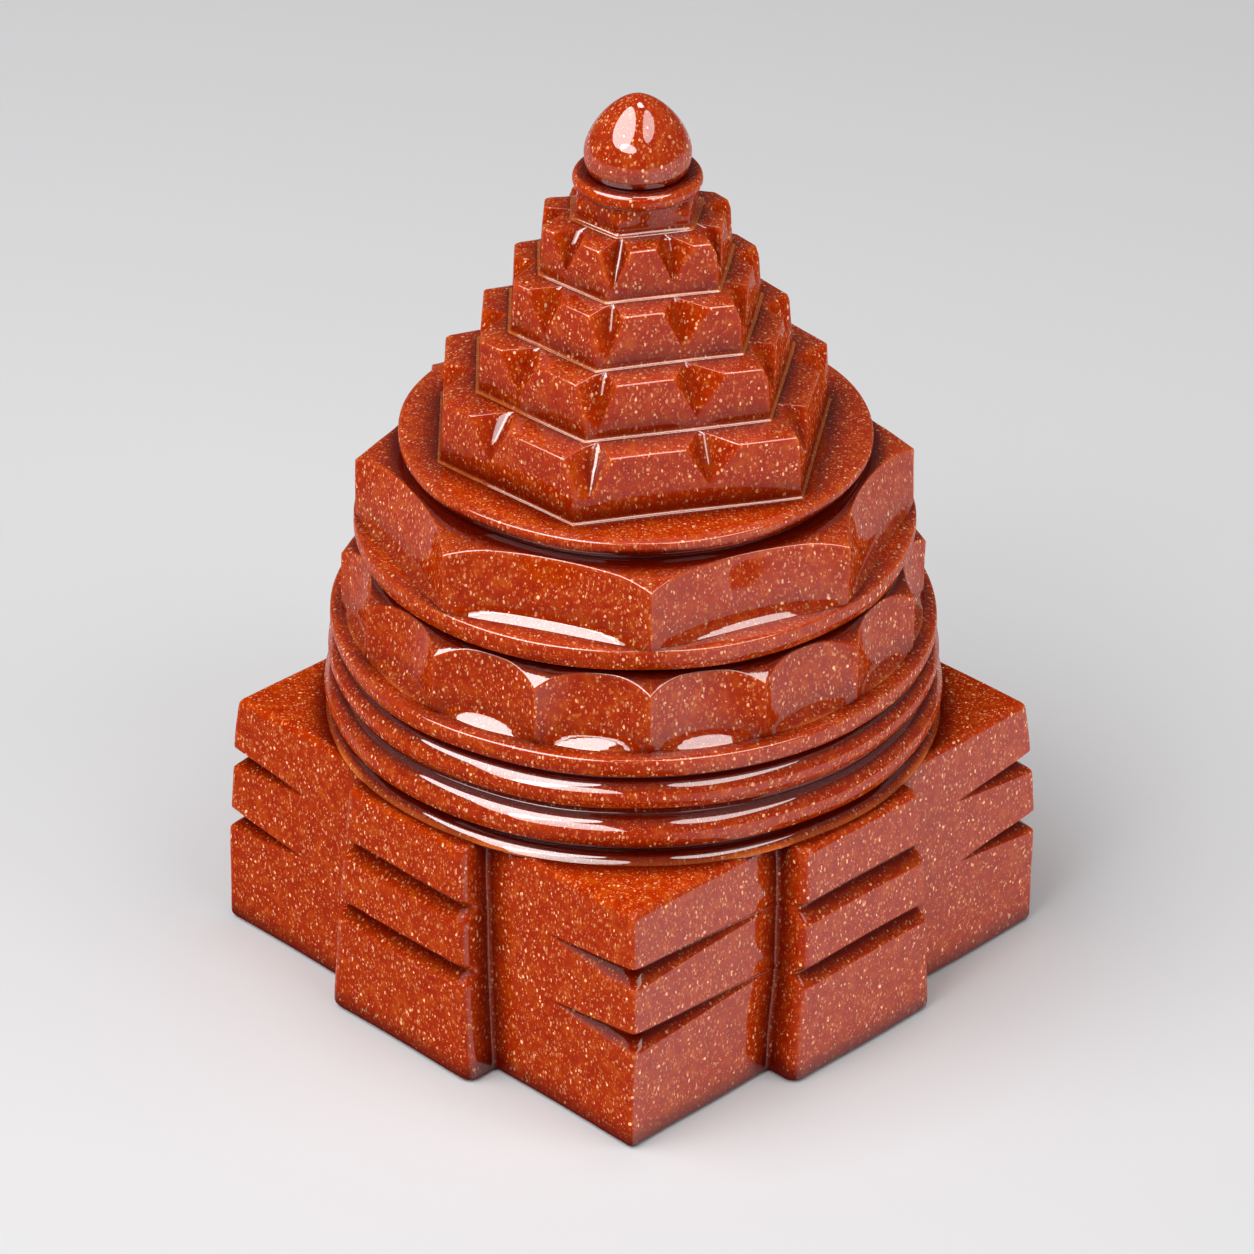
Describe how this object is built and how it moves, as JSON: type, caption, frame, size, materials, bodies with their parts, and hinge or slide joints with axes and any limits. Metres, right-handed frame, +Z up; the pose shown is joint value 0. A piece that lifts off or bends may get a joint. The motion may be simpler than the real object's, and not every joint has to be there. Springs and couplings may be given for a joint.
{
  "type": "shri yantra",
  "caption": "Raised shri yantra of polished goldstone glass: square gated plinth, girdle rings, scooped petal tiers, stepped notched tiers, collar and pointed dome.",
  "frame": {"origin": "middle of the underside of the plinth", "axes": "+Z up through the tip of the dome, X and Y square to the plinth's sides"},
  "size_m": [0.0416, 0.0416, 0.0593],
  "materials": {
    "goldstone": "opaque red-brown glass full of copper flecks, polished"
  },
  "bodies": {
    "root": {"bhupura_base": "goldstone", "lower_girdle": "goldstone", "middle_girdle": "goldstone", "upper_girdle": "goldstone", "sixteen_petal_tier": "goldstone", "petal_girdle": "goldstone", "eight_petal_tier": "goldstone", "round_terrace": "goldstone", "first_block_tier": "goldstone", "second_block_tier": "goldstone", "third_block_tier": "goldstone", "fourth_block_tier": "goldstone", "trikona_collar": "goldstone", "bindu": "goldstone"}
  },
  "joints": []
}
